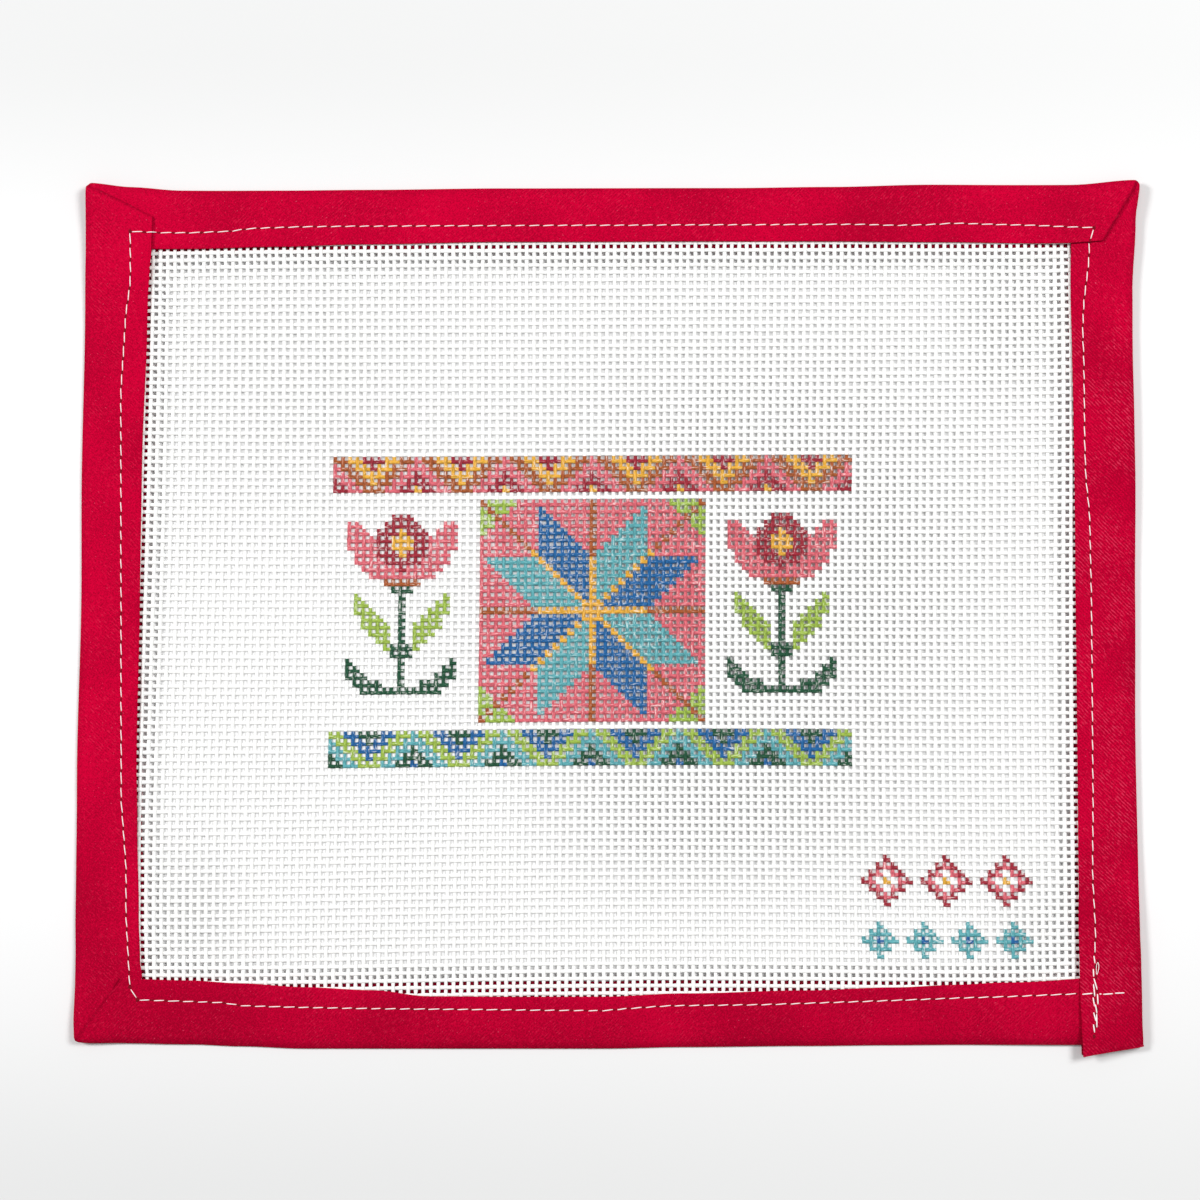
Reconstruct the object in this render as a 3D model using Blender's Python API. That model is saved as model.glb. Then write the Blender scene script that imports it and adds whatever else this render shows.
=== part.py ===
# Needlepoint canvas panel: a rectangle of open woven cotton canvas, bound all round with one
# strip of folded bias tape. The tape starts at the bottom right, runs clockwise, turns three
# mitred corners, and its end laps over its start and sticks out a little below.
#
# Metres, +Z up. The panel lies flat, with +X to its right and +Y to its top. The origin is on
# the surface it lies on, under the middle of its outline. The tables below are in millimetres,
# measured from the panel's two centre lines.

import math

import bmesh
import bpy
from mathutils import Vector

MM = 0.001

# Layers
CLOTH = 1.0  # thickness of the canvas and of each arm of the tape
GAP = 0.3  # air between two layers
LAYER = CLOTH + GAP  # height from the middle of one layer to the middle of the next
EDGE_INSET = 2.1  # the canvas stops this far inside the tape's outer fold

# Each side of the tape. "outer" is the folded edge and "inner" the edge that shows on top, both
# as distances from the panel's middle, and "peek" is how much wider the tape is underneath.
SIDES = {
    "bottom": (
        # along, outer, inner, peek
        (-140.0, 112.3, 96.4, 2.2),
        (-130.0, 113.1, 96.5, 2.2),
        (-110.0, 113.3, 97.0, 2.2),
        (-80.0, 114.4, 98.7, 2.2),
        (-62.0, 114.4, 99.5, 2.2),
        (-47.0, 114.4, 101.1, 2.2),
        (-2.0, 114.4, 101.2, 3.9),
        (20.0, 114.0, 100.3, 4.2),
        (52.0, 113.7, 99.5, 4.0),
        (75.0, 113.5, 98.7, 2.2),
        (104.0, 113.4, 97.4, 2.2),
        (137.0, 113.4, 95.7, 2.2),
    ),
    "left": (
        (-112.0, 139.8, 122.9, 2.4),
        (-96.0, 140.1, 122.6, 2.4),
        (-80.0, 140.3, 123.7, 3.0),
        (-39.0, 140.4, 124.8, 3.4),
        (3.0, 139.8, 124.4, 3.0),
        (36.0, 140.1, 124.3, 3.0),
        (78.0, 139.7, 123.3, 3.4),
        (115.0, 139.6, 122.7, 3.4),
    ),
    "top": (
        (-139.5, 114.9, 97.2, 2.0),
        (-128.0, 113.9, 97.3, 2.0),
        (-115.0, 113.1, 97.4, 2.0),
        (-88.0, 113.2, 98.1, 2.0),
        (-65.0, 113.4, 98.8, 2.0),
        (-28.0, 113.8, 99.5, 2.0),
        (33.0, 113.9, 99.7, 2.0),
        (60.0, 114.2, 99.7, 2.0),
        (86.0, 114.8, 99.5, 2.0),
        (124.0, 114.6, 99.0, 2.0),
        (142.0, 115.8, 98.9, 2.0),
    ),
    "right": (
        (-116.0, 140.1, 123.8, -0.6),
        (-113.0, 140.1, 123.7, -0.6),
        (-108.0, 140.1, 123.6, 4.2),
        (-102.0, 140.1, 123.4, 4.2),
        (-70.0, 139.6, 124.0, 4.2),
        (-34.0, 139.3, 124.1, 4.2),
        (3.0, 139.7, 124.1, 3.9),
        (36.0, 140.1, 124.1, 2.2),
        (70.0, 139.8, 123.8, 2.2),
        (86.0, 140.2, 123.6, 2.2),
        (105.0, 141.2, 123.8, 2.2),
        (115.5, 142.1, 124.0, 2.2),
    ),
}

# Where the tape starts, turns and ends: its folded edge, the foot of the fold line, the inner
# edge on top, and the inner edge underneath, each as x, y.
SEAMS = {
    "start": ((136.8, -113.4), (136.8, -98.5), (136.8, -95.7), (136.8, -93.5)),
    "bottom left": ((-139.8, -112.3), (-128.5, -96.7), (-122.9, -96.4), (-120.5, -94.2)),
    "top left": ((-139.5, 114.9), (-122.6, 106.0), (-122.7, 97.2), (-119.3, 95.2)),
    "top right": ((142.1, 115.8), (132.4, 99.6), (124.0, 98.9), (121.8, 96.9)),
    "end": ((140.2, -114.1), (126.2, -116.2), (123.8, -116.6), (124.4, -116.5)),
}

MITRES = ("bottom left", "top left", "top right")

# The tape's run: side, the seams at its two ends, its rows, and how many layers its two arms
# rise where the end laps over the start.
RUN = (
    ("bottom", "start", "bottom left", 26, 1, 1),
    ("left", "bottom left", "top left", 20, 0, 0),
    ("top", "top left", "top right", 26, 0, 0),
    ("right", "top right", "end", 22, 0, 2),
)

SEAM_CREASE = 0.45  # a fold line stands this far above the arm
CREASE_SHARE = 0.02  # of a side, from a seam to the row that ends its crease
NEAR = 0.15  # of the tape's width, from its inner edge to the column that meets a fold line
NEAR_FADE = 0.12  # of a side, from a seam to where that column lies so
FOLD_STEPS = 4  # flats round the outer fold

# Where the end laps over the start: the canvas and the tape below rise by one layer.
LAP_X, LAP_X_RUN = 92.0, 28.0
LAP_Y, LAP_Y_RUN = -58.0, 34.0

# Corners that curl up off the surface
CURLS = (
    # x, y, height, reach
    (-139.5, 115.0, 0.7, 42.0),
    (142.0, 116.0, 1.0, 46.0),
    (-140.0, -112.0, 0.6, 42.0),
    (141.0, -116.0, 0.9, 46.0),
)

# The canvas hangs from the tape down towards the surface, with soft hills and hollows.
CANVAS_STEPS = (32, 26)
SAG, SAG_START, SAG_RUN = 0.8, 1.5, 26.0
SWELLS = (
    # x, y, reach x, reach y, height
    (36.0, 0.0, 62.0, 60.0, 0.75),
    (-70.0, 60.0, 40.0, 28.0, 0.25),
    (-95.0, -12.0, 26.0, 34.0, -0.35),
    (-38.0, -50.0, 45.0, 20.0, -0.35),
    (100.0, 78.0, 14.0, 34.0, -0.2),
)

# Name, linear colour and roughness of each cloth
COTTON_WHITE = ("canvas", (0.86, 0.86, 0.84), 0.8)
TAPE_CRIMSON = ("binding", (0.60, 0.004, 0.036), 0.85)


def clear_scene():
    for obj in list(bpy.data.objects):
        bpy.data.objects.remove(obj, do_unlink=True)


def ramp(value):
    """0 below 0, 1 above 1, and a smooth rise between."""
    value = min(max(value, 0.0), 1.0)
    return value * value * (3.0 - 2.0 * value)


def profile(side, column, along):
    """One column of a side's table at any place along that side."""
    rows = SIDES[side]
    if along <= rows[0][0]:
        return rows[0][column]
    for low, high in zip(rows, rows[1:]):
        if along <= high[0]:
            share = ramp((along - low[0]) / (high[0] - low[0]))
            return low[column] + (high[column] - low[column]) * share
    return rows[-1][column]


def on_side(side, along, outward):
    """A point of the plan from its place along a side and its distance from the middle."""
    return {
        "bottom": Vector((along, -outward)),
        "left": Vector((-outward, along)),
        "top": Vector((along, outward)),
        "right": Vector((outward, along)),
    }[side]


def across_axis(side):
    """The axis square to a side: 0 for X and 1 for Y."""
    return 0 if side in ("left", "right") else 1


def curl(x, y):
    """How far the corners' curl lifts every layer here."""
    return sum(
        height * ramp(1.0 - math.hypot(x - cx, y - cy) / reach)
        for cx, cy, height, reach in CURLS
    )


def lap(x, y):
    """1 where the tape's end laps over its start, 0 away from there."""
    return ramp((x - LAP_X) / LAP_X_RUN) * ramp((LAP_Y - y) / LAP_Y_RUN)


def layer_height(layer, x, y):
    """Height of the middle of a layer, counted from 0 for the tape's lower arm."""
    return CLOTH / 2 + LAYER * layer + curl(x, y)


def near_share(side, seam):
    """How far across the tape, from its inner edge, a seam's near point lies."""
    axis = across_axis(side)
    outer, near, inner = (abs(point[axis]) for point in SEAMS[seam][:3])
    return (near - inner) / (outer - inner)


def plan_row(side, start, end, share):
    """Outer, near, inner and under points of one row of the tape."""
    seam = end if share > 0.5 else start
    if share in (0.0, 1.0):
        return [Vector(point) for point in SEAMS[seam]]
    axis = 1 - across_axis(side)
    along = [
        a[axis] + (b[axis] - a[axis]) * share for a, b in zip(SEAMS[start], SEAMS[end])
    ]
    at_seam = near_share(side, seam)
    part = at_seam + (NEAR - at_seam) * ramp(min(share, 1 - share) / NEAR_FADE)
    outer = on_side(side, along[0], profile(side, 1, along[0]))
    inner = on_side(side, along[2], profile(side, 2, along[2]))
    width = profile(side, 1, along[1]) - profile(side, 2, along[1])
    near = on_side(side, along[1], profile(side, 2, along[1]) + part * width)
    peek = profile(side, 2, along[3]) - profile(side, 3, along[3])
    under = on_side(side, along[3], peek)
    return [outer, near, inner, under]


def tape_section(side, start, end, share, rise_below, rise_above):
    """One row of the tape's middle surface, from its lower inner edge round to its upper one."""
    outer, near, inner, under = plan_row(side, start, end, share)
    mitred = {0.0: start, 1.0: end}.get(share) in MITRES
    across = across_axis(side)
    lapped = lap(*outer) if side == "right" else 0.0
    fold_middle = LAYER * (1.0 + lapped * rise_above / 2)  # half the arms' distance
    fold_outer = fold_middle + CLOTH / 2

    def below(point):
        return LAYER * rise_below * lap(*point) + layer_height(0, *point)

    def above(point, crease=0.0):
        return LAYER * rise_above * lap(*point) + layer_height(2, *point) + crease

    def tangent_towards(point):
        """Where the outer fold meets an arm: square to the side, or to both sides at a mitre."""
        if mitred:
            away = [math.copysign(fold_outer, point[i] - outer[i]) for i in range(2)]
            return outer + Vector(away)
        return outer.lerp(point, fold_outer / abs(point[across] - outer[across]))

    tangent, tangent_below = tangent_towards(near), tangent_towards(under)
    flat_points = (under, under.lerp(tangent_below, 0.5), tangent_below)
    points = [(*p, below(p)) for p in flat_points]
    low, high = below(tangent_below), above(tangent)
    reach = (fold_middle / fold_outer) * (outer - tangent)
    for step in range(1, FOLD_STEPS):
        angle = math.pi * (step / FOLD_STEPS - 0.5)
        bend = tangent + reach * math.cos(angle)
        points.append((*bend, (low + high) / 2 + (high - low) / 2 * math.sin(angle)))
    points.append((*tangent, high))
    crease = SEAM_CREASE if mitred else 0.0
    points += [(*p, above(p, crease)) for p in (tangent.lerp(near, 0.5), near, inner)]
    return points


def tape_rows():
    """Every row of the tape from its start to its end."""
    rows = []
    for side, start, end, count, rise_below, rise_above in RUN:
        shares = [CREASE_SHARE] + [step / count for step in range(1, count)] + [1 - CREASE_SHARE]
        shares = ([0.0] if not rows else []) + shares + [1.0]
        rows += [tape_section(side, start, end, s, rise_below, rise_above) for s in shares]
    return rows


def sheet_from_rows(name, rows):
    """A grid of the given rows, thickened evenly to both sides."""
    columns = len(rows[0])
    mesh = bpy.data.meshes.new(name)
    work = bmesh.new()
    bmesh.ops.create_grid(work, x_segments=len(rows) - 1, y_segments=columns - 1, size=1.0)
    work.verts.ensure_lookup_table()
    across = sorted({round(vert.co.x, 6) for vert in work.verts})
    up = sorted({round(vert.co.y, 6) for vert in work.verts})
    for vert in work.verts:
        row = rows[across.index(round(vert.co.x, 6))]
        vert.co = Vector(row[up.index(round(vert.co.y, 6))]) * MM
    work.to_mesh(mesh)
    work.free()
    obj = bpy.data.objects.new(name, mesh)
    bpy.context.scene.collection.objects.link(obj)
    solid = obj.modifiers.new("thickness", "SOLIDIFY")
    solid.thickness = CLOTH * MM
    solid.offset = 0.0
    solid.use_even_offset = True
    solid.use_quality_normals = True
    return obj


def window_depth(x, y):
    """How far inside the tape's lower arm a point of the canvas lies."""
    reach = [
        (profile("left", 2, y) - profile("left", 3, y)) + x,
        (profile("right", 2, y) - profile("right", 3, y)) - x,
        (profile("bottom", 2, x) - profile("bottom", 3, x)) + y,
        (profile("top", 2, x) - profile("top", 3, x)) - y,
    ]
    return min(reach)


def canvas_height(x, y):
    """Height of the middle of the canvas: level under the tape, uneven in the window."""
    free = ramp((window_depth(x, y) - SAG_START) / SAG_RUN)
    swell = sum(
        height * math.exp(-(((x - cx) / rx) ** 2) - ((y - cy) / ry) ** 2)
        for cx, cy, rx, ry, height in SWELLS
    )
    return layer_height(1 + lap(x, y), x, y) + free * (swell - SAG)


def canvas_rows():
    """Rows of the canvas from left to right, each from the bottom to the top."""
    columns, lines = CANVAS_STEPS
    half_width, half_height = SIDES["left"][4][1], SIDES["top"][5][1]
    rows = []
    for i in range(columns + 1):
        across = 2 * i / columns - 1
        row = []
        for j in range(lines + 1):
            up = 2 * j / lines - 1
            left = profile("left", 1, up * half_height) - EDGE_INSET
            right = profile("right", 1, up * half_height) - EDGE_INSET
            bottom = profile("bottom", 1, across * half_width) - EDGE_INSET
            top = profile("top", 1, across * half_width) - EDGE_INSET
            x = (right * (1 + across) - left * (1 - across)) / 2
            y = (top * (1 + up) - bottom * (1 - up)) / 2
            row.append((x, y, canvas_height(x, y)))
        rows.append(row)
    return rows


def cloth_material(name, colour, roughness):
    material = bpy.data.materials.new(name)
    material.use_nodes = True
    shader = material.node_tree.nodes["Principled BSDF"]
    shader.inputs["Base Color"].default_value = (*colour, 1.0)
    shader.inputs["Roughness"].default_value = roughness
    shader.inputs["Metallic"].default_value = 0.0
    return material


def make_canvas():
    canvas = sheet_from_rows("canvas", canvas_rows())
    canvas.data.materials.append(cloth_material(*COTTON_WHITE))
    return canvas


def make_binding():
    binding = sheet_from_rows("binding", tape_rows())
    binding.data.materials.append(cloth_material(*TAPE_CRIMSON))
    return binding


def centre_on_outline(objects):
    """Moves the panel so that the origin lies under the middle of its outline."""
    bpy.context.view_layer.update()
    graph = bpy.context.evaluated_depsgraph_get()
    corners = [Vector(corner) for obj in objects for corner in obj.evaluated_get(graph).bound_box]
    for axis in range(2):
        low = min(corner[axis] for corner in corners)
        high = max(corner[axis] for corner in corners)
        for obj in objects:
            obj.location[axis] -= (low + high) / 2


clear_scene()
centre_on_outline([make_canvas(), make_binding()])
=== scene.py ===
import math

import bpy
import numpy as np
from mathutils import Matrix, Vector


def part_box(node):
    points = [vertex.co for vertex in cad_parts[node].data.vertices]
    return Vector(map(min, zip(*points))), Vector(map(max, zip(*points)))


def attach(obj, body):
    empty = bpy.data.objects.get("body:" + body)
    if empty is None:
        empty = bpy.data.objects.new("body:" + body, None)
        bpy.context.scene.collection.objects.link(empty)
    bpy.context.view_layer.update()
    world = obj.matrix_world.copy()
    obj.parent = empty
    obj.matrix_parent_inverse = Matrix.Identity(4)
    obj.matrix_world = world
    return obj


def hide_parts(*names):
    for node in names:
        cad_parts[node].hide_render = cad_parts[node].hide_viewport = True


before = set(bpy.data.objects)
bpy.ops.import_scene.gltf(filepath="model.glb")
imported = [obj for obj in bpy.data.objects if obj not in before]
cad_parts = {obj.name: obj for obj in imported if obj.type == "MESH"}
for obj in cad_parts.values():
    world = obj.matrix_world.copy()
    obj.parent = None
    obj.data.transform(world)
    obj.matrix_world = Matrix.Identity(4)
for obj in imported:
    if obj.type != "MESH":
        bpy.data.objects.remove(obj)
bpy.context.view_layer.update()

# Needlepoint canvas panel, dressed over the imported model: woven threads, folded tape, stitches.
# Tables and settings are in millimetres on the panel, seen from above; meshes are in metres.
mm = 0.001
chance = np.random.default_rng(13)

# The panel's own table: each side's folded edge, inner edge and how much wider it is underneath
panel = {
    "bottom": (
        # along, outer, inner, peek
        (-140, 112.7, 96.4, 0.8),
        (-136, 112.9, 96.4, 0.8),
        (-130, 112.9, 96.5, 0.8),
        (-110, 113.3, 97, 0.7),
        (-97, 113.8, 97.7, 0.5),
        (-80, 114.4, 98.7, 1.1),
        (-62, 114.4, 99.5, 2.2),
        (-47, 114.4, 101.1, 3.8),
        (-28, 114.4, 101.2, 4.1),
        (-2, 114.4, 101.2, 3.9),
        (20, 114, 100.3, 3.5),
        (52, 113.7, 99.5, 2.6),
        (75, 113.5, 98.7, 2),
        (92, 113.4, 98, 1),
        (104, 113.4, 97.4, 0.7),
        (137, 113.4, 95.7, 0.7),
    ),
    "left": (
        (-112, 140.1, 122.9, 1.2),
        (-107, 140.3, 122.8, 1.3),
        (-96, 140.1, 122.6, 1.6),
        (-91.5, 140.1, 123.2, 1.5),
        (-80, 140.3, 123.7, 1.4),
        (-55, 140.3, 124.4, 1),
        (-39, 140.4, 124.8, 1.3),
        (3, 139.8, 124.4, 1.4),
        (36, 140.1, 124.3, 1.3),
        (78, 139.7, 123.3, 1),
        (84, 139.7, 123.2, 1),
        (91, 139.7, 122.8, 1),
        (97, 139.6, 122.2, 0.9),
        (115, 139.6, 122, 0.9),
    ),
    "top": (
        (-139.5, 114.9, 97.2, 0.8),
        (-128, 113.9, 97.3, 0.8),
        (-115, 113.1, 97.4, 0.9),
        (-88, 113.2, 98.1, 1.3),
        (-65, 113.4, 98.8, 1.9),
        (-28, 113.8, 99.5, 2.4),
        (33, 113.9, 99.7, 2.4),
        (60, 114.2, 99.7, 2.2),
        (86, 114.8, 99.5, 1.6),
        (124, 114.6, 99, 1.1),
        (142, 115.8, 98.9, 1.1),
    ),
    "right": (
        (-116, 140.5, 124.4, -0.2),
        (-113, 140.3, 124.3, -0.2),
        (-108, 140.1, 124.1, 0.3),
        (-102, 140.1, 123.9, 0.3),
        (-92, 140, 123.8, 0.3),
        (-84, 139.8, 123.7, 0.7),
        (-70, 139.6, 124, 1.1),
        (-34, 139.3, 124.1, 1.3),
        (3, 139.7, 124.1, 1),
        (36, 140.1, 124.1, 1),
        (52, 140, 124, 0.5),
        (70, 139.8, 123.8, 0.5),
        (86, 139.9, 123.6, 0.5),
        (105, 140.9, 123.8, 0.5),
        (115.5, 142.1, 124, 0.5),
    ),
}
outerColumn, innerColumn, peekColumn = 1, 2, 3

# Where the tape starts, turns and ends: folded edge, foot of the fold line, inner edge on top,
# inner edge underneath
seams = {
    "start": ((136.8, -113.4), (136.8, -98.5), (136.8, -95.7), (136.8, -93.5)),
    "bottom left": ((-140.2, -112.8), (-128.5, -96.7), (-122.9, -96.4), (-121.8, -95.5)),
    "top left": ((-139.4, 114.8), (-122, 106), (-122.1, 97.2), (-121.2, 96.3)),
    "top right": ((142.1, 115.8), (132.4, 99.6), (124, 98.9), (123.4, 97.9)),
    "end": ((140.6, -114.1), (126.8, -116.2), (124.5, -116.7), (124.9, -116.6)),
}

lie = {
    "curls": (  # where the edge lifts: x, y, height, reach
        (-139.5, 115, 1.5, 44),
        (142, 116, 1.1, 46),
        (142, 58, 0.6, 66),
        (-140, -112, 0.6, 42),
    ),
    "lapX": (92, 28),  # where the end laps over the start: from, over what distance
    "lapY": (-58, 34),
    "lapStep": 0.52,
    "endDrop": (111.5, 4.5, 0.9, 12),  # the end's outer half bends down: past this y, over this
    # run, by this, and that half begins over this width
    "lowerMid": 0.17,  # heights of the middle of each layer
    "canvasMid": 1.05,
    "upperMid": 1.95,
    "sag": 0.75,
    "sagStart": 0.3,
    "sagRun": 6,
    "curlFades": 0.9,  # how much of a corner's lift the free canvas loses
    "canvasLowest": 0.225,  # where its threads touch the surface
    "swells": (  # soft hills and hollows of the canvas: x, y, reach x, reach y, height
        (35, 8, 54, 58, 0.5),
        (22, -50, 42, 20, 0.25),
        (-85, 62, 36, 38, 0.14),
        (-98, -22, 30, 34, -0.2),
        (-50, -52, 42, 22, -0.2),
        (0, -86, 110, 18, -0.13),
        (70, 25, 30, 42, 0.12),
        (108, 82, 14, 22, 0.3),
        (-112, -80, 14, 18, 0.3),
    ),
}

# The panel's middle in the frame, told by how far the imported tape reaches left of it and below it
packedReach = (140.4, 116.6)
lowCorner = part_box("binding")[0] / mm
panelX = lowCorner.x + packedReach[0]
panelY = lowCorner.y + packedReach[1]


def ramp(value):
    value = np.clip(value, 0.0, 1.0)
    return value * value * (3.0 - 2.0 * value)


def sideValue(side, column, along):
    # one column of a side's table, at any places along that side
    rows = np.array(panel[side])
    along = np.asarray(along, float)
    low = np.clip(np.searchsorted(rows[:, 0], along) - 1, 0, len(rows) - 2)
    share = ramp((along - rows[low, 0]) / (rows[low + 1, 0] - rows[low, 0]))
    return rows[low, column] + (rows[low + 1, column] - rows[low, column]) * share


def curl(x, y):
    return sum(
        height * ramp(1.0 - np.hypot(x - cx, y - cy) / reach) for cx, cy, height, reach in lie["curls"]
    )


def lap(x, y):
    # 1 where the tape's end laps over its start
    fromX, runX = lie["lapX"]
    fromY, runY = lie["lapY"]
    return ramp((x - fromX) / runX) * ramp((fromY - y) / runY)


def canvasHeight(x, y):
    # level under the tape, sagging and uneven inside it
    depth = np.minimum.reduce([
        sideValue("left", innerColumn, y) - sideValue("left", peekColumn, y) + x,
        sideValue("right", innerColumn, y) - sideValue("right", peekColumn, y) - x,
        sideValue("bottom", innerColumn, x) - sideValue("bottom", peekColumn, x) + y,
        sideValue("top", innerColumn, x) - sideValue("top", peekColumn, x) - y,
    ])
    free = ramp((depth - lie["sagStart"]) / lie["sagRun"])
    swell = sum(
        height * np.exp(-(((x - cx) / rx) ** 2) - ((y - cy) / ry) ** 2)
        for cx, cy, rx, ry, height in lie["swells"]
    )
    raised = lie["canvasMid"] + lie["lapStep"] * lap(x, y) + curl(x, y)
    lowered = swell - lie["sag"] - lie["curlFades"] * curl(x, y)
    return np.maximum(raised + free * lowered, lie["canvasLowest"])


def readPoints(obj):
    points = np.zeros(len(obj.data.vertices) * 3)
    obj.data.vertices.foreach_get("co", points)
    return points.reshape(-1, 3)


def writePoints(obj, points):
    obj.data.vertices.foreach_set("co", points.ravel())
    obj.data.update()


def placeOnFrame(obj):
    # millimetres on the panel to metres in the frame
    points = readPoints(obj)
    writePoints(obj, (points + np.array((panelX, panelY, 0.0))) * mm)


def pick(*objects):
    bpy.ops.object.select_all(action="DESELECT")
    for obj in objects:
        obj.select_set(True)
    bpy.context.view_layer.objects.active = objects[0]


def apply(obj, kind, **settings):
    pick(obj)
    modifier = obj.modifiers.new(kind.lower(), kind)
    for name, value in settings.items():
        setattr(modifier, name, value)
    bpy.ops.object.modifier_apply(modifier=modifier.name)


def repeat(obj, count, step, merge=False):
    apply(
        obj, "ARRAY", use_relative_offset=False, use_constant_offset=True,
        constant_offset_displace=step, count=count, use_merge_vertices=merge, merge_threshold=0.001,
    )


class Wire:
    # the output of a shader node; sums on it add Math nodes
    def __init__(self, tree, socket):
        self.tree = tree
        self.socket = socket

    def maths(self, operation, *values):
        inputs = dict(enumerate(values))
        return addNode(self.tree, "ShaderNodeMath", {"operation": operation}, inputs)

    def __add__(self, other):
        return self.maths("ADD", self, other)

    def __sub__(self, other):
        return self.maths("SUBTRACT", self, other)

    def __rsub__(self, other):
        return self.maths("SUBTRACT", other, self)

    def __mul__(self, other):
        return self.maths("MULTIPLY", self, other)

    def sine(self):
        return self.maths("SINE", self)

    def between(self, low, high):
        # 0 at low, 1 at high, smooth between
        settings = {"interpolation_type": "SMOOTHSTEP"}
        return addNode(self.tree, "ShaderNodeMapRange", settings, {0: self, 1: low, 2: high})


def addNode(tree, kind, settings=None, inputs=None, output=0):
    node = tree.nodes.new(kind)
    for name, value in (settings or {}).items():
        setattr(node, name, value)
    for name, value in (inputs or {}).items():
        if isinstance(value, Wire):
            tree.links.new(value.socket, node.inputs[name])
        else:
            node.inputs[name].default_value = value
    return Wire(tree, node.outputs[output])


def newMaterial(name, **constants):
    material = bpy.data.materials.new(name)
    material.use_nodes = True
    shader = material.node_tree.nodes["Principled BSDF"]
    for socket, value in constants.items():
        shader.inputs[socket.replace("_", " ")].default_value = value
    return material, material.node_tree, shader


def connect(tree, wire, shader, socket):
    tree.links.new(wire.socket, shader.inputs[socket])


def objectPlace(tree):
    return addNode(tree, "ShaderNodeTexCoord", output=3)


def axisOf(tree, vector, axis):
    return addNode(tree, "ShaderNodeSeparateXYZ", {}, {0: vector}, output=axis)


def noise(tree, coordinates, stretch, detail=2.0, roughness=0.5):
    # soft noise on coordinates in metres, stretch being features a metre along each axis
    scaled = addNode(
        tree, "ShaderNodeVectorMath", {"operation": "MULTIPLY"}, {0: coordinates, 1: stretch}
    )
    return addNode(
        tree, "ShaderNodeTexNoise", {}, {"Vector": scaled, "Scale": 1.0, "Detail": detail,
                                         "Roughness": roughness},
    )


def blendColours(tree, share, first, second):
    settings = {"data_type": "RGBA", "blend_type": "MIX"}
    return addNode(tree, "ShaderNodeMix", settings, {0: share, 6: first, 7: second}, output=2)


def fromScreen(red, green, blue):
    # the linear colour of a surface that reads so on screen, 0 to 255, where it lies level
    shares = [level / 255 for level in (red, green, blue)]
    linear = [((s + 0.055) / 1.055) ** 2.4 if s > 0.04 else s / 12.92 for s in shares]
    return (*[light / view["brightness"] for light in linear], 1.0)


view = {
    "centre": (-3.08, 3.75, 1.95),  # the point in the middle of the picture, on top of the tape
    "width": 318.6,  # how much shows across the picture there
    "distance": 650.0,
    "tilt": 3.35,  # degrees from straight down, towards the bottom edge
    "sensor": 36.0,
    "leftLight": ((-1250.0, 370.0, 1040.0), 420.0, 18.0),  # place, size across, power
    "rightLight": ((930.0, 420.0, 1160.0), 600.0, 15.2),
    "skyLight": 0.34,
    "brightness": 1.2,  # how strongly a level white surface is lit
}


def setCamera():
    tilt = math.radians(view["tilt"])
    away = Vector((0.0, -math.sin(tilt), math.cos(tilt))) * view["distance"]
    place = (Vector(view["centre"]) + away) * mm
    bpy.ops.object.camera_add(location=place, rotation=(tilt, 0.0, 0.0))
    camera = bpy.context.object
    camera.data.sensor_width = view["sensor"]
    camera.data.lens = view["sensor"] * view["distance"] / view["width"]
    camera.data.clip_start = 0.01
    bpy.context.scene.camera = camera


def addLight(name, place, size, power):
    bpy.ops.object.light_add(type="AREA", location=Vector(place) * mm)
    light = bpy.context.object
    light.name = name
    light.data.shape = "DISK"
    light.data.size = size * mm
    light.data.energy = power
    light.rotation_euler = (-Vector(place)).to_track_quat("-Z", "Y").to_euler()


def setLight():
    for name in ("leftLight", "rightLight"):
        addLight(name, *view[name])
    world = bpy.data.worlds.new("paleRoom")
    world.use_nodes = True
    background = world.node_tree.nodes["Background"]
    background.inputs["Color"].default_value = (1.0, 1.0, 1.0, 1.0)
    background.inputs["Strength"].default_value = view["skyLight"]
    bpy.context.scene.world = world
    bpy.context.scene.view_settings.view_transform = "Standard"


ground = {  # pale paper; painted shade darkens it towards its lower and upper edges, more on the left than the right, so its middle reads lighter
    "middle": ((0.86, 0.86, 0.862, 1.0), (0.875, 0.875, 0.877, 1.0)),  # between these, by its grain
    "edges": ((0.712, 0.715, 0.714, 1.0), (0.752, 0.755, 0.753, 1.0)),  # painted shade towards the edges, from left to right
    "edgesFrom": 42.0,  # 1 over the square of how far off the edges' tone is reached, in metres
    "sideways": 0.2,
}


def setFloor():
    bpy.ops.mesh.primitive_plane_add(size=6.0, location=(0.0, 0.0, 0.0))
    floor = bpy.context.object
    floor.name = "paleFloor"
    material, tree, shader = newMaterial("palePaper", Roughness=0.7)
    place = objectPlace(tree)
    grain = noise(tree, place, (40.0, 40.0, 40.0), detail=4.0)
    sideways, upwards = axisOf(tree, place, 0), axisOf(tree, place, 1)
    middle = blendColours(tree, grain, *ground["middle"])
    # painted shade: darker towards the lower and upper edges, more on the left than the right
    acrossIt = sideways.between(-ground["sideways"], ground["sideways"])
    away = blendColours(tree, acrossIt, *ground["edges"])
    towardsEdges = (upwards * upwards * ground["edgesFrom"]).between(0.0, 1.0)
    shadedPaper = blendColours(tree, towardsEdges, middle, away)
    connect(tree, shadedPaper, shader, "Base Color")
    floor.data.materials.append(material)


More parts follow.
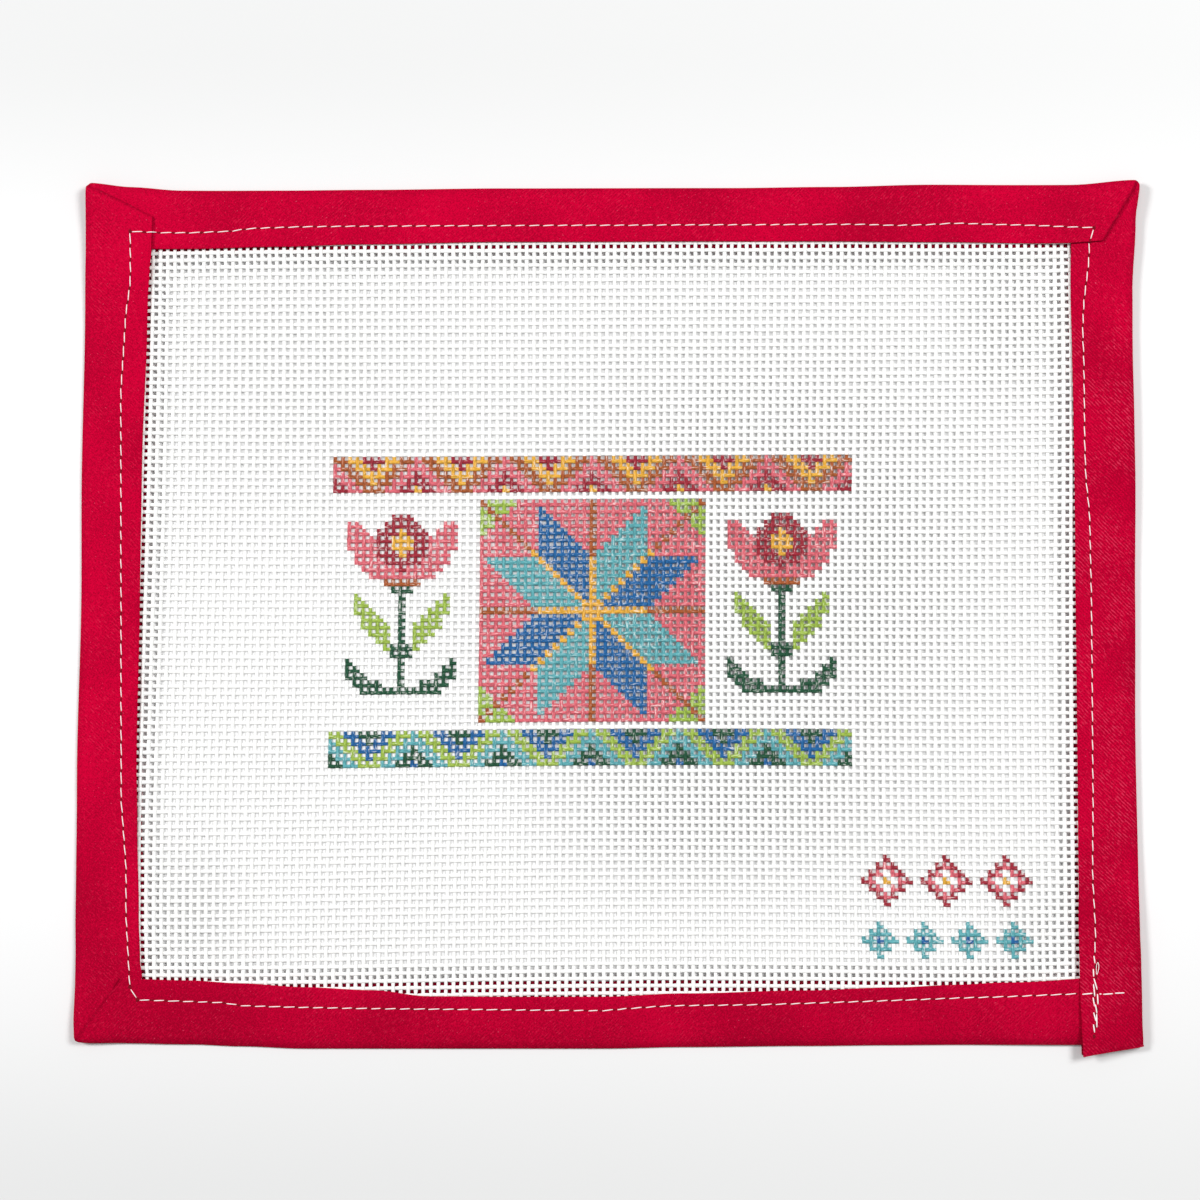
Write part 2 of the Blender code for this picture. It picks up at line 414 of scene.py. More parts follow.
# The canvas: woven cotton threads
canvas = {
    "pitchX": 1.967,  # from hole to hole
    "pitchY": 1.935,
    "phaseX": 0.9,  # a thread's place on the panel, each way
    "phaseY": 0.515,
    "warps": (-70, 69),  # first and last thread, counted from the middle
    "wefts": (-57, 57),
    "halfWidth": 0.4,
    "shoulder": 1.4,  # widens the flat top and bottom of a thread
    "halfThick": 0.115,
    "weave": 0.075,  # how far a thread goes up and down
    "drawn": (  # how the weave is drawn out of square, by powers of x and y in 100 mm
        # power of x, power of y, millimetres along x, along y
        (0, 0, 0.328, -0.181), (1, 0, -1.681, 0.471),
        (0, 1, 0.522, -1.360), (2, 0, -0.808, -0.552),
        (1, 1, -0.509, 0.005), (0, 2, -0.024, -0.144),
        (3, 0, 1.595, -0.312), (2, 1, 0.845, 1.589),
        (1, 2, 2.548, 0.516), (0, 3, 0.030, 2.744),
        (4, 0, 0.407, 0.351), (3, 1, 0.038, 0.093),
        (2, 2, 0.162, -0.286), (1, 3, 0.355, -0.142),
        (0, 4, 0.084, 0.315), (5, 0, -0.292, 0.128),
        (4, 1, -0.112, -0.399), (3, 2, -1.353, 0.172),
        (2, 3, -0.636, -1.055), (1, 4, -0.723, -0.614),
        (0, 5, -0.040, -1.177),
    ),
    "wander": 0.05,
    "uneven": 0.08,
    "cotton": ((0.915, 0.915, 0.895, 1.0), (0.975, 0.975, 0.965, 1.0)),
    "showsThrough": (0.92, 0.9, 0.87, 1.0),  # bare fibres where the paint is thin
}

inks = {
    "p": fromScreen(238, 108, 122),
    "r": fromScreen(172, 24, 50),
    "b": fromScreen(0, 104, 172),
    "c": fromScreen(98, 184, 192),
    "l": fromScreen(170, 202, 76),
    "y": fromScreen(250, 186, 56),
    "g": fromScreen(0, 84, 52),
    "o": fromScreen(184, 92, 34),
}

tulip = (
    "......rrr......",
    "pp...rrrrr...pp",
    "ppp.rrryrrr.ppp",
    "pppprryyyrrpppp",
    "pppprryyyrrpppp",
    ".ppprrryrrrppp.",
    ".pppprrrrrpppp.",
    "..ppppprppppp..",
    "...ppppppppp...",
    ".....ooooo.....",
    "......ggg......",
    ".l.....g.....l.",
    ".ll....g....ll.",
    ".lll...g...lll.",
    "..lll..g..lll..",
    "..llll.g.llll..",
    "...lll.g.lll...",
    "....ll.g.ll....",
    ".....lgggl.....",
    "......ggg......",
    "g......g......g",
    "gg.....g.....gg",
    "ggg....g....ggg",
    ".gggg..g..gggg.",
    "..ggggggggggg..",
)

diamondChain = (
    "...r....",
    "..rpr...",
    ".rp.pr..",
    "rp.y.pr.",
    ".rp.pr..",
    "..rpr...",
    "...r....",
)

lozengeRow = (
    "..c...",
    ".ccc..",
    "ccbcc.",
    ".ccc..",
    "..c...",
)

chart = {
    "place": (-38, 21),  # left column and top row of the sampler, in threads from the middle
    "size": (71, 43),
    "bands": (("ryop", 0), ("gblc", 38)),  # colours and first row of each zigzag band
    "bandRows": 5,
    "bandPeriod": 12,
    "starPetal": 7,
    "starPlace": (20, 6),
    "tulips": ((2, 8), (54, 8)),
    "cornerPlace": (34, -34),
    "cornerColumns": 23,
    "cornerBorders": ((diamondChain, 0), (lozengeRow, 9)),  # and the row each begins on
}


def starRows():
    # eight petals on a solid ground, the petals parted by single lines
    petal = chart["starPetal"]
    reach = 2 * petal + 1
    rows = []
    for y in range(reach, -reach - 1, -1):
        row = ""
        for x in range(-reach, reach + 1):
            far, near = max(abs(x), abs(y)), min(abs(x), abs(y))
            if near == 0 or far == near:
                row += "y" if far <= petal + (near > 0) else "o"
            elif near <= petal and far - near <= petal:
                row += "b" if (abs(x) > abs(y)) == (x * y > 0) else "c"
            else:
                row += "l" if far + near > 3 * petal + 4 else "p"
        rows.append(row)
    return rows


def stamp(grid, rows, column, top):
    for j, row in enumerate(rows):
        for i, ink in enumerate(row):
            if ink != ".":
                grid[(column + i, top - j)] = ink


def paintedCells():
    # ink of each painted crossing, by column and row counted from the middle
    left, top = chart["place"]
    columns = chart["size"][0]
    period = chart["bandPeriod"]
    grid = {}
    for palette, first in chart["bands"]:
        for j in range(chart["bandRows"]):
            for i in range(columns):
                peak = abs((i - columns // 2) % period - period // 2)
                grid[(left + i, top - first - j)] = palette[(j + peak) // 2 % len(palette)]
    stamp(grid, starRows(), left + chart["starPlace"][0], top - chart["starPlace"][1])
    for column, row in chart["tulips"]:
        stamp(grid, tulip, left + column, top - row)
    corner, cornerTop = chart["cornerPlace"]
    for motif, first in chart["cornerBorders"]:
        rows = [(row * 4)[:chart["cornerColumns"]] for row in motif]
        stamp(grid, rows, corner, cornerTop - first)
    return grid


def threadMaterial(name, stretch):
    # unbleached cotton, printed on where the paint attribute says so
    material, tree, shader = newMaterial(name, Roughness=0.8)
    place = objectPlace(tree)
    fibres = noise(tree, place, stretch, detail=3.0, roughness=0.6)
    patches = noise(tree, place, (260.0, 260.0, 260.0))
    cotton = blendColours(tree, fibres, *canvas["cotton"])
    paint = addNode(tree, "ShaderNodeAttribute", {"attribute_name": "paint"})
    inked = addNode(tree, "ShaderNodeAttribute", {"attribute_name": "paint"}, output=3)
    soaked = blendColours(tree, fibres.between(0.3, 0.56) * 0.5 + 0.5, (0.0, 0.0, 0.0, 1.0), paint)
    thin = (fibres * 0.8 + patches * 0.2).between(0.53, 0.66) * 0.62
    printed = blendColours(tree, thin, soaked, canvas["showsThrough"])
    colour = blendColours(tree, inked, cotton, printed)
    connect(tree, colour, shader, "Base Color")
    bump = addNode(tree, "ShaderNodeBump", {}, {"Strength": 0.5, "Distance": 0.00012, "Height": fibres})
    connect(tree, bump, shader, "Normal")
    return material


def makeThread(name, crossings, pitch):
    # one thread: a flattened ring drawn out over one hole, then repeated along its length
    bpy.ops.object.select_all(action="DESELECT")
    bpy.ops.mesh.primitive_circle_add(
        vertices=6, radius=1.0, location=(0.0, -0.25 * pitch, 0.0), rotation=(math.pi / 2, 0.0, 0.0)
    )
    thread = bpy.context.object
    thread.name = name
    bpy.ops.object.transform_apply(location=True, rotation=True)
    bpy.ops.object.mode_set(mode="EDIT")
    bpy.ops.mesh.select_all(action="SELECT")
    bpy.ops.transform.resize(value=(canvas["halfWidth"], 1.0, canvas["halfThick"]))
    for _ in range(2):
        bpy.ops.mesh.extrude_region_move(TRANSFORM_OT_translate={"value": (0.0, 0.5 * pitch, 0.0)})
    bpy.ops.object.mode_set(mode="OBJECT")
    repeat(thread, crossings, (0.0, pitch, 0.0), merge=True)
    bpy.ops.object.mode_set(mode="EDIT")
    bpy.ops.mesh.select_all(action="SELECT")
    bpy.ops.mesh.fill_holes(sides=6)
    bpy.ops.mesh.normals_make_consistent(inside=False)
    bpy.ops.object.mode_set(mode="OBJECT")
    return thread


def weaveThreads(name, first, last, alongX, crossFirst, crossLast, material):
    # a run of parallel threads, woven over and under the others and laid on the canvas's own shape
    pitch = (canvas["pitchX"], canvas["pitchY"])
    along, across = (0, 1) if alongX else (1, 0)
    crossings = crossLast - crossFirst + 1
    threads = makeThread(name, crossings, pitch[along])
    repeat(threads, last - first + 1, (pitch[across], 0.0, 0.0))
    points = readPoints(threads)
    centres = np.zeros(len(threads.data.polygons) * 3)
    threads.data.polygons.foreach_get("center", centres)
    centres = centres.reshape(-1, 3)
    if alongX:  # a quarter turn, so that the threads lie along X
        span = (crossings - 1) * pitch[0]
        points = np.stack([span - points[:, 1], points[:, 0], points[:, 2]], axis=1)
        centres = np.stack([span - centres[:, 1], centres[:, 0], centres[:, 2]], axis=1)

    # which thread, and which of the rings along it, each point belongs to
    thread = np.round(points[:, across] / pitch[across]).astype(int)
    ring = np.round((points[:, along] / pitch[along] + 0.25) * 2).astype(int)
    crossing = ring // 2
    over = np.where((thread + first + crossing + crossFirst) % 2 == int(alongX), 1.0, -1.0)
    shape = (last - first + 1, 2 * crossings + 3)
    slow = np.cumsum(chance.normal(0.0, 0.25, shape), axis=1)
    slow = slow - np.linspace(0.0, 1.0, shape[1]) * slow[:, -1:]
    wander = canvas["wander"] * (slow * 0.35 + chance.normal(0.0, 0.25, shape))
    fat = 1.0 + canvas["uneven"] * chance.normal(0.0, 1.0, shape)
    ring = np.clip(ring, 0, shape[1] - 1)
    middle = thread * pitch[across]
    wide = np.where(np.abs(points[:, 2]) > 0.01, canvas["shoulder"], 1.0) * fat[thread, ring]
    points[:, across] = middle + (points[:, across] - middle) * wide + wander[thread, ring]
    points[:, 2] = points[:, 2] * fat[thread, ring] + over * canvas["weave"]

    # from the first crossing to its place on the panel
    origin = np.array([0.0, 0.0])
    origin[across] = first * pitch[across]
    origin[along] = crossFirst * pitch[along]
    origin += (canvas["phaseX"], canvas["phaseY"])
    x, y = points[:, 0] + origin[0], points[:, 1] + origin[1]
    points[:, 0], points[:, 1] = x, y
    for powerX, powerY, shiftX, shiftY in canvas["drawn"]:
        share = (x / 100.0) ** powerX * (y / 100.0) ** powerY
        points[:, 0] += shiftX * share
        points[:, 1] += shiftY * share
    points[:, 2] += canvasHeight(points[:, 0], points[:, 1])
    writePoints(threads, points)

    # ink, by the cell of the weave that each face lies in
    cell = np.zeros((len(centres), 2), int)
    cell[:, across] = np.round(centres[:, across] / pitch[across]).astype(int) + first
    cell[:, along] = np.floor(centres[:, along] / pitch[along] + 0.25).astype(int) + crossFirst
    painted = paintedCells()
    bare = (1.0, 1.0, 1.0, 0.0)
    colours = [inks[painted[key]] if key in painted else bare for key in map(tuple, cell.tolist())]
    attribute = threads.data.attributes.new("paint", "FLOAT_COLOR", "FACE")
    attribute.data.foreach_set("color", np.array(colours, np.float32).ravel())
    pick(threads)
    bpy.ops.object.shade_smooth()
    placeOnFrame(threads)
    addFlatMap(threads)
    threads.data.materials.append(material)
    return threads


def setMap(obj, name, places):
    # the only map of a mesh, from each point's place on it
    while obj.data.uv_layers:
        obj.data.uv_layers.remove(obj.data.uv_layers[0])
    layer = obj.data.uv_layers.new(name=name)
    corners = np.zeros(len(obj.data.loops), int)
    obj.data.loops.foreach_get("vertex_index", corners)
    layer.data.foreach_set("uv", places[corners].ravel())


def addFlatMap(obj):
    # a plain map from above, on which textures can be laid
    points = readPoints(obj)[:, :2]
    low, high = points.min(0), points.max(0)
    setMap(obj, "OFBake", (points - low) / (high - low) * 0.98 + 0.01)


def makeCanvas():
    fibre, along = 2900.0, 800.0
    warpCotton = threadMaterial("warpCotton", (fibre, along, fibre))
    weftCotton = threadMaterial("weftCotton", (along, fibre, fibre))
    warpFirst, warpLast = canvas["warps"]
    weftFirst, weftLast = canvas["wefts"]
    pieces = [
        weaveThreads("warpsLeft", warpFirst, -1, False, weftFirst, weftLast, warpCotton),
        weaveThreads("warpsRight", 0, warpLast, False, weftFirst, weftLast, warpCotton),
        weaveThreads("weftsLower", weftFirst, 0, True, warpFirst, warpLast, weftCotton),
        weaveThreads("weftsUpper", 1, weftLast, True, warpFirst, warpLast, weftCotton),
    ]
    for piece in pieces:
        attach(piece, "root")
        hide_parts("canvas")
    return pieces


# The binding: one folded tape, in four runs
tape = {
    "cloth": 0.3,
    "layers": 0.36,  # from the middle of an arm to the middle of the hem turned under it
    "hem": 5.0,
    "rowStep": 2.0,
    "near": 0.15,  # of the width, from the inner edge to the column that meets a fold line
    "nearFade": 0.12,
    "foldSteps": 8,
    "lowerColumns": 8,
    "upperColumns": 20,
    "edgeColumns": 7,
    "tuck": 4.0,  # how far a run goes on under the one that covers its end
    "raise": 0.72,  # how much higher the covering run lies
    "raiseFrom": {  # from how far off, and how near the outer fold it rises already
        "top left": (13.0, 1.6),
        "top right": (13.0, 6.0),
        "end": (24.0, 1.0),
    },
    "lip": (0.22, 0.5),  # how far a covering run turns down at its very end, and over what length
    "cornerRound": 1.6,
    "roll": {  # how far in from its folded edge the upper arm starts to go down to it,
        # and the height of that edge as a share of the tape's
        "bottom": (6.4, 0.2),
        "left": (5.4, 0.14),
        "top": (5.2, 0.32),
        "right": (2.6, 0.46),
    },
    "rollRun": 14.0,  # how far from a mitred corner it does so in full
    "spread": 0.42,  # the rounded outer fold reaches this far past the tables' folded edge
    "crease": {  # painted shade along a fold line: how dark at the line, and how dark at its foot
        "bottom left": (0.3, 0.0),
        "top left": (0.5, 0.9),
        "top right": (0.7, 0.7),
    },
    "pucker": 0.16,
    "puckerWide": 0.9,
    "wave": 0.1,
    "hemShade": 0.75,  # how dark the painted shade on the hem is, where it lies under the canvas
    "deep": fromScreen(172, 0, 42),
    "mid": fromScreen(220, 0, 57),
    "pale": fromScreen(238, 84, 120),
    "ribs": 0.00105,  # metres from rib to rib, along the tape
    "rightFrom": (0.68, 0.73),  # metres along the tape to where its ribs show well
    "deeper": (-0.06, -0.108, 0.11),  # painted shade: its tone darkens from this y to this y, in metres, by this
}
hemColumns = 6  # the columns of a turned hem, and the one that runs along the outer fold
foldColumn = hemColumns + tape["lowerColumns"] + tape["foldSteps"] // 2

# run, seams at its two ends, what its arms rise by at the lap (lower, upper), and at each end
# whether it covers its neighbour (1), goes under it (-1) or only meets it at a crease (0); covering and
# creasing ends get painted shade along their fold line
runs = (
    ("bottom", "start", "bottom left", (1, 1), (0, 0)),
    ("left", "bottom left", "top left", (0, 0), (0, 1)),
    ("top", "top left", "top right", (0, 0), (-1, 1)),
    ("right", "top right", "end", (0, 2), (-1, 1)),
)
mitres = ("bottom left", "top left", "top right")


def onSide(side, along, outward):
    places = {
        "bottom": (along, -outward),
        "left": (-outward, along),
        "top": (along, outward),
        "right": (outward, along),
    }
    return np.array([float(value) for value in places[side]])


def acrossAxis(side):
    return 0 if side in ("left", "right") else 1


def nearShare(side, seam):
    outer, near, inner = (abs(point[acrossAxis(side)]) for point in seams[seam][:3])
    return (near - inner) / (outer - inner)


def spreadWays(side, seam):
    # a mitred corner spreads both ways, an end of the tape only square to its side
    ways = np.ones(2)
    if seam not in mitres:
        ways[1 - acrossAxis(side)] = 0.0
    return ways


def planRow(side, start, end, share, tucks):
    # outer, near, inner and under points of one row of the tape
    seam = end if share > 0.5 else start
    if share in (0.0, 1.0):
        outer, near, inner, under = (np.array(point) for point in seams[seam])
        outer = outer + np.sign(outer) * tape["spread"] * spreadWays(side, seam)
        tucked = tucks[int(share)] < 0
        if tucked:  # on past the fold line, under the run that covers it
            past = np.zeros(2)
            past[1 - acrossAxis(side)] = math.copysign(tape["tuck"], near[1 - acrossAxis(side)])
            near, inner = near + past, inner + past
        return outer, near, inner, under
    axis = 1 - acrossAxis(side)
    along = [a[axis] + (b[axis] - a[axis]) * share for a, b in zip(seams[start], seams[end])]
    atSeam = nearShare(side, seam)
    part = atSeam + (tape["near"] - atSeam) * ramp(min(share, 1 - share) / tape["nearFade"])
    outer = onSide(side, along[0], sideValue(side, outerColumn, along[0]) + tape["spread"])
    inner = onSide(side, along[2], sideValue(side, innerColumn, along[2]))
    innerHere = sideValue(side, innerColumn, along[1])
    width = sideValue(side, outerColumn, along[1]) - innerHere
    near = onSide(side, along[1], innerHere + part * width)
    reach = sideValue(side, innerColumn, along[3]) - sideValue(side, peekColumn, along[3])
    under = onSide(side, along[3], reach)
    return outer, near, inner, under


def tapeRow(side, start, end, share, length, rises, ends):
    # one row of the tape's middle surface, from the hem inside its lower arm round to the upper hem
    outer, near, inner, under = planRow(side, start, end, share, ends)
    seam = end if share > 0.5 else start
    mitred = share in (0.0, 1.0) and seam in mitres
    across = acrossAxis(side)
    lapped = lap(*outer) if side == "right" else 0.0
    low, high = lie["lowerMid"], lie["upperMid"]
    middle = (high - low + lie["lapStep"] * rises[1] * lapped) / 2
    edge = tape["cloth"] / 2
    fromSeam = (1 - share if share > 0.5 else share) * length
    rolled = ramp(fromSeam / tape["rollRun"]) if seam in mitres else 1.0
    reachRolled, tipRolled = tape["roll"][side]
    reachBelow = middle + edge
    reachAbove = reachBelow + (reachRolled - reachBelow) * rolled
    tip = 0.5 + (tipRolled - 0.5) * rolled
    covering = 1.0 if ends[int(share > 0.5)] > 0 else 0.0

    def below(point):
        return low + lie["lapStep"] * rises[0] * lap(*point) + curl(*point)

    def dropped(point):
        past, run, depth, halfRun = lie["endDrop"]
        outerHalf = ramp((point[0] - seams["end"][2][0]) / halfRun)
        return depth * outerHalf * ramp((-past - point[1]) / run) if side == "right" else 0.0

    def above(point, inward):
        raiseRun, soon = tape["raiseFrom"].get(seam, (1.0, 1.0))
        lift = tape["raise"] * covering * ramp(1 - fromSeam / raiseRun) * ramp(inward * soon)
        turn, turnRun = tape["lip"]
        turned = turn * covering * ramp(1 - fromSeam / turnRun) * ramp(inward * 3)
        level = high + lie["lapStep"] * rises[1] * lap(*point) + curl(*point)
        return level + lift - turned - dropped(point)

    def tangentTowards(point, reach):
        if mitred:
            return outer + (point - outer) * (reach / abs(point - outer).min())
        return outer + (point - outer) * (reach / abs(point[across] - outer[across]))

    def hemRow(rim, towards, level, sign):
        # the turn at an inner edge and the hem behind it, from the edge inwards
        inward = (towards - rim) / np.linalg.norm(towards - rim)
        radius = tape["layers"] / 2
        turn = []
        for step in range(1, 4):
            angle = math.pi * step / 4
            spot = rim + inward * (radius * 2 - radius * math.sin(angle))
            turn.append((*spot, level(spot) + sign * radius * (1 - math.cos(angle))))
        for far in (2 * radius, tape["hem"] / 2, tape["hem"]):
            spot = rim + inward * far
            turn.append((*spot, level(spot) + sign * tape["layers"]))
        return turn

    tangentAbove, tangentBelow = tangentTowards(near, reachAbove), tangentTowards(under, reachBelow)
    points, arm = [], []  # arm is -1 on the lower arm, 1 on the upper, and rises round the fold
    lowerHem = hemRow(under, tangentBelow, below, 1.0)
    points += lowerHem[::-1]
    lowerEdge = under + (tangentBelow - under) / np.linalg.norm(tangentBelow - under) * tape["layers"]
    for step in range(tape["lowerColumns"] + 1):
        spot = lowerEdge + (tangentBelow - lowerEdge) * step / tape["lowerColumns"]
        points.append((*spot, below(spot)))
    arm += [-1.0] * len(points)
    lowAt, highAt = below(tangentBelow), above(tangentAbove, 0.0)
    tipHeight = lowAt + (highAt - lowAt) * tip
    for step in range(1, tape["foldSteps"]):
        angle = math.pi * (step / tape["foldSteps"] - 0.5)
        tangent, reach, level = (
            (tangentBelow, reachBelow, lowAt) if angle < 0 else (tangentAbove, reachAbove, highAt)
        )
        bend = tangent + (outer - tangent) * (1 - edge / reach) * math.cos(angle)
        points.append((*bend, tipHeight + abs(level - tipHeight) * math.sin(angle)))
        arm.append(0.3 * step / tape["foldSteps"])
    columns = tape["upperColumns"]
    for step in range(columns):
        spot = tangentAbove + (near - tangentAbove) * (step / columns)
        points.append((*spot, above(spot, step / columns)))
        arm.append(float(ramp(0.3 + step / 5)))
    upperEdge = inner + (near - inner) / np.linalg.norm(near - inner) * tape["layers"]
    for step in range(tape["edgeColumns"] + 1):
        spot = near + (upperEdge - near) * step / tape["edgeColumns"]
        points.append((*spot, above(spot, 1.0)))
        arm.append(1.0)
    points += hemRow(inner, near, lambda spot: above(spot, 1.0), -1.0)
    arm += [1.0] * (len(points) - len(arm))
    return points, arm


def runRows(side, start, end, rises, ends):
    length = math.dist(seams[start][0], seams[end][0])
    count = round(length / tape["rowStep"])
    close = [0.0, 0.3 / length, 0.8 / length]  # rows near a seam, so that its fold line is crisp
    shares = close + [step / count for step in range(1, count)] + [1 - share for share in close[::-1]]
    rows = [tapeRow(side, start, end, share, length, rises, ends) for share in shares]
    return rows, length


# The sewing: where its line runs, the even parts first
stitchLine = {
    "top": (
        (-127.8, 102), (-122.2, 101.8), (-112, 101.8), (-101.3, 102.3), (-95.9, 103.1),
        (-82.5, 103.5), (-66.5, 103.7), (67.5, 104.2), (76.7, 103.9), (86, 104.1),
        (92.7, 104.5), (112.6, 103.9), (130, 103),
    ),
    "right": (
        (130, 103), (128.7, 99.6), (128.5, 93.7), (127.1, 83.1), (126.7, 75.1),
        (126.9, 68.3), (126.9, 46.6), (127.1, 36.4), (128, 26), (128.3, 3.6),
        (128.1, -49.5), (127.7, -69.5), (128.2, -84.7), (127.8, -90),
    ),
    "left": (
        (-127.8, 102), (-127.7, 88.5), (-128.9, 80.2), (-130, 59.5), (-129.8, 41.2),
        (-128.7, -49.5), (-127.2, -67.1), (-127.1, -79.7), (-126.4, -89.6), (-125.8, -98.5),
        (-123.8, -101.9),
    ),
    "bottom": (
        (-123.8, -101.9), (-101.3, -102.7), (-96.3, -103.5), (-81.3, -103.9), (-65.2, -104.2),
        (-1.3, -104.8), (5.3, -104.2), (15.5, -103.5), (40.8, -103.2), (66.3, -102.4),
        (91.6, -101.5), (104.5, -101.1), (123.4, -100.3),
    ),
    "flapDown": ((127.6, -90.3), (128, -100), (127.4, -112)),
    "flapAcross": ((123.4, -100.3), (137, -100.1)),
}
evenLines = ("top", "right", "left", "bottom")

sewing = {
    "pitch": 3.8,
    "length": 3,
    "thick": 0.28,
    "rise": 0.08,  # the middle of a stitch above the cloth
    "sink": 0.16,  # how far its ends go down into it
    "turn": 0.1,  # how far each end lies off the line
    "uneven": 0.1,
    "holeLength": 1.3,
    "holeWidth": 0.72,
    "holeThick": 0.16,
    "apart": 4,  # between copies, before each is laid in its place
    "flapStitches": (  # sewn back and forth where the tape ends: from x, y to x, y
        (127.6, -90.3, 127.9, -92.4), (127.4, -93.7, 127.5, -95.9),
        (127.5, -96.1, 128.4, -99.3), (127.4, -97.6, 127.7, -101.1),
        (128.4, -100.2, 128.5, -103.1), (127.2, -101.1, 127.6, -103.6),
        (127.8, -102.9, 128.2, -105.4), (127.3, -105, 127.9, -107.4),
        (128.1, -105.3, 128.1, -109.1), (127.2, -108.1, 127.5, -110.4),
        (124.3, -100.4, 127.2, -100.1), (128.9, -100.3, 129.5, -100.3),
        (129.8, -100.4, 132.6, -100.2), (132.9, -100.1, 135.6, -100),
    ),
    "flapHoles": (
        (128.7, -91.8), (128, -93.1), (128.2, -95.9), (127.9, -98.1), (128.4, -99.6),
        (127.3, -100.5), (127.8, -101.9), (128.4, -104.2), (127.8, -105.6), (127.7, -108.7),
    ),
    "deepHoles": (  # where the needle went in more than once
        (-127.8, 102), (130, 103), (-123.8, -101.9), (-125.8, -98.5), (127.3, -111.3),
    ),
    "deepHole": (1.3, 0.95, 0.2),  # length, width, thickness
    "loop": (
        (128.22, -95.13), (128.11, -93.43), (128.36, -92.18), (128.66, -91.97),
        (128.86, -93.17), (128.61, -94.51), (128.36, -95.22),
    ),
    "loopHeight": 0.25,
    "flapThicker": 1.3,  # thicker thread there, times this
    "underFlatter": 0.4,
    "underSink": 0.03,
    "underHoleThick": 0.07,
    "holeRise": -0.02,
    "threadTones": ((0.97, 0.76, 0.78, 1), (1, 0.98, 0.97, 1)),
    # painted shade: tones of the dark lenses that stand for the shadow in the needle holes
    "holeTones": (fromScreen(112, 0, 20), fromScreen(142, 0, 30)),
}


def distanceToSewing(x, y):
    nearest = np.full(np.shape(x), np.inf)
    for line in stitchLine.values():
        for (ax, ay), (bx, by) in zip(line, line[1:]):
            along = ((x - ax) * (bx - ax) + (y - ay) * (by - ay)) / ((bx - ax) ** 2 + (by - ay) ** 2)
            along = np.clip(along, 0.0, 1.0)
            nearest = np.minimum(nearest, np.hypot(x - ax - (bx - ax) * along, y - ay - (by - ay) * along))
    return nearest


def tapeMaterial():
    # crimson bias cotton: grain, slanted lines of its weave, flecks; painted shade darkens it at its outer
    # fold, along fold lines, on the hem under the canvas and towards the panel's lower edge
    material, tree, shader = newMaterial("crimsonTape", Roughness=0.95, Specular_IOR_Level=0.03)
    flat = addNode(tree, "ShaderNodeUVMap", {"uv_map": "tapeMap"})
    place = objectPlace(tree)
    along, fromFold = axisOf(tree, flat, 0), axisOf(tree, flat, 1)
    warpWay, weftWay = along + fromFold, along - fromFold
    turned = addNode(tree, "ShaderNodeCombineXYZ", {}, {0: warpWay, 1: weftWay})
    ribs = (warpWay * (2 * math.pi / tape["ribs"])).sine()
    lines = noise(tree, turned, (2100.0, 420.0, 1.0), roughness=0.6)
    crossLines = noise(tree, turned, (520.0, 2100.0, 1.0))
    grain = noise(tree, turned, (2000.0, 1500.0, 1.0), roughness=0.7)
    lint = noise(tree, turned, (1500.0, 1100.0, 1.0), detail=1.0)
    patches = noise(tree, place, (85.0, 85.0, 85.0))
    clouds = noise(tree, place, (34.0, 34.0, 34.0), detail=3.0)
    rightward = along.between(*tape["rightFrom"])
    ribbed = ribs * (patches.between(0.42, 0.66) * 0.7 + rightward * 1.2)
    weave = lines * 0.22 + crossLines * 0.18 + grain * 0.6 + ribbed * 0.035
    tone = (weave + clouds * 0.25).between(0.525, 0.725)
    shade = blendColours(tree, tone, tape["deep"], tape["mid"])
    streaks = (lines + ribbed * 0.06).between(0.54, 0.72) * patches.between(0.3, 0.6)
    lined = blendColours(tree, streaks * (rightward * 0.26 + 0.14), shade, tape["pale"])
    flecked = blendColours(tree, lint.between(0.72, 0.77) * 0.6, lined, tape["pale"])
    # painted shade: a little darker at the outer fold
    inside = fromFold.maths("ABSOLUTE", fromFold).between(0.0004, 0.003)
    # painted shade from the fold lines and from the hem under the canvas
    crease = addNode(tree, "ShaderNodeAttribute", {"attribute_name": "crease"}, output=2)
    # painted shade, darker towards the panel's lower edge
    lowEdgeShadeFrom, lowEdgeShadeTo, lowEdgeShadeBy = tape["deeper"]
    deeper = axisOf(tree, place, 1).between(lowEdgeShadeFrom, lowEdgeShadeTo) * lowEdgeShadeBy
    # the share of the cloth's colour left after all its painted shade
    unshadedShare = (inside * 0.1 + 0.9) * (1.0 - crease * 0.75) * (1.0 - deeper)
    folded = blendColours(tree, unshadedShare, (0.0, 0.0, 0.0, 1.0), flecked)
    connect(tree, folded, shader, "Base Color")
    bump = addNode(tree, "ShaderNodeBump", {}, {"Strength": 0.6, "Distance": 0.0002, "Height": weave})
    connect(tree, bump, shader, "Normal")
    return material


def ripples(x, y):
    # low waves in the cloth, bent so that they don't stand in rows
    return np.sin(x / 5.3 + 0.7 * np.sin(y / 7.0)) * np.sin(y / 6.1 + 1.3 * np.sin(x / 17.0))


def roundCorners(points):
    # draws in what lies at each mitred corner, from a square to a quarter circle
    radius = tape["cornerRound"]
    for name in mitres:
        corner = np.array(seams[name][0])
        inwards = -np.sign(corner)
        centre = corner + inwards * (radius + tape["cloth"] / 2 - tape["spread"])
        offset = (points[:, :2] - centre) * -inwards / radius
        there = (offset > 0).all(axis=1)
        square = offset[there]
        drawnIn = square.max(axis=1) / np.hypot(*square.T)
        points[there, :2] = centre + (points[there, :2] - centre) * drawnIn[:, None]


def tapeMap(side, rows):
    # the tape laid flat: how far along it a point is, and how far from its outer fold
    across = acrossAxis(side)
    steps = np.hypot(np.diff(rows[:, :, across], axis=1), np.diff(rows[:, :, 2], axis=1))
    widths = np.cumsum(np.pad(steps, ((0, 0), (1, 0))), axis=1)
    along = rows[:, :, 1 - across] * (1.0 if side in ("left", "top") else -1.0)
    return np.stack([along, widths - widths[:, foldColumn, None]], axis=2)


